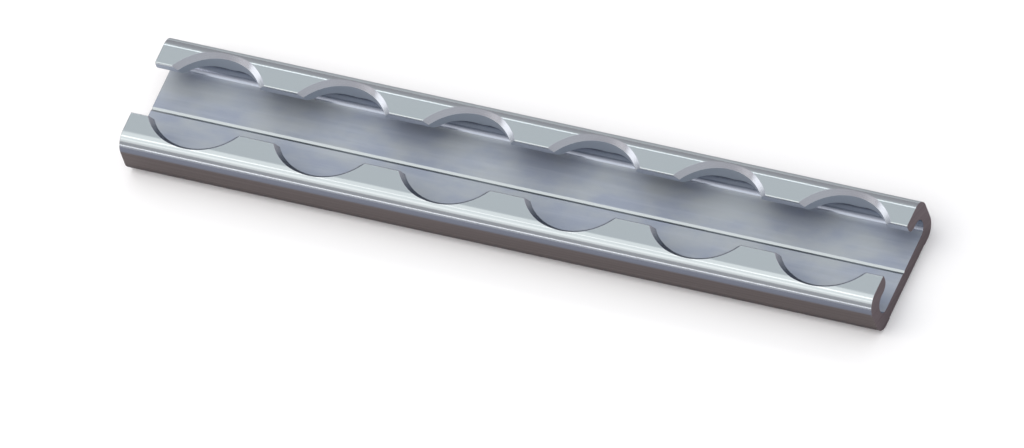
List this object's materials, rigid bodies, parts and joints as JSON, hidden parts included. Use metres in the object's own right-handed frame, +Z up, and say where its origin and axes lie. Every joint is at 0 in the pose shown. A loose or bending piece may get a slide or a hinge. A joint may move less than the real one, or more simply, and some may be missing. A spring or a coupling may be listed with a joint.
{
  "type": "airline track",
  "caption": "Straight length of extruded aluminium tie-down rail: a shallow C channel whose lips are cut by evenly spaced round stud holes, open along a centre slot.",
  "frame": {"origin": "on the plane of the feet, midway along the length and the width", "axes": "+X along the length, +Y across the width, +Z up through the slot, away from the surface the track is laid on"},
  "size_m": [0.1524, 0.0254, 0.0097],
  "materials": {
    "bright_aluminium": "smooth bright extrusion"
  },
  "bodies": {
    "root": {"track": "bright_aluminium"}
  },
  "joints": []
}
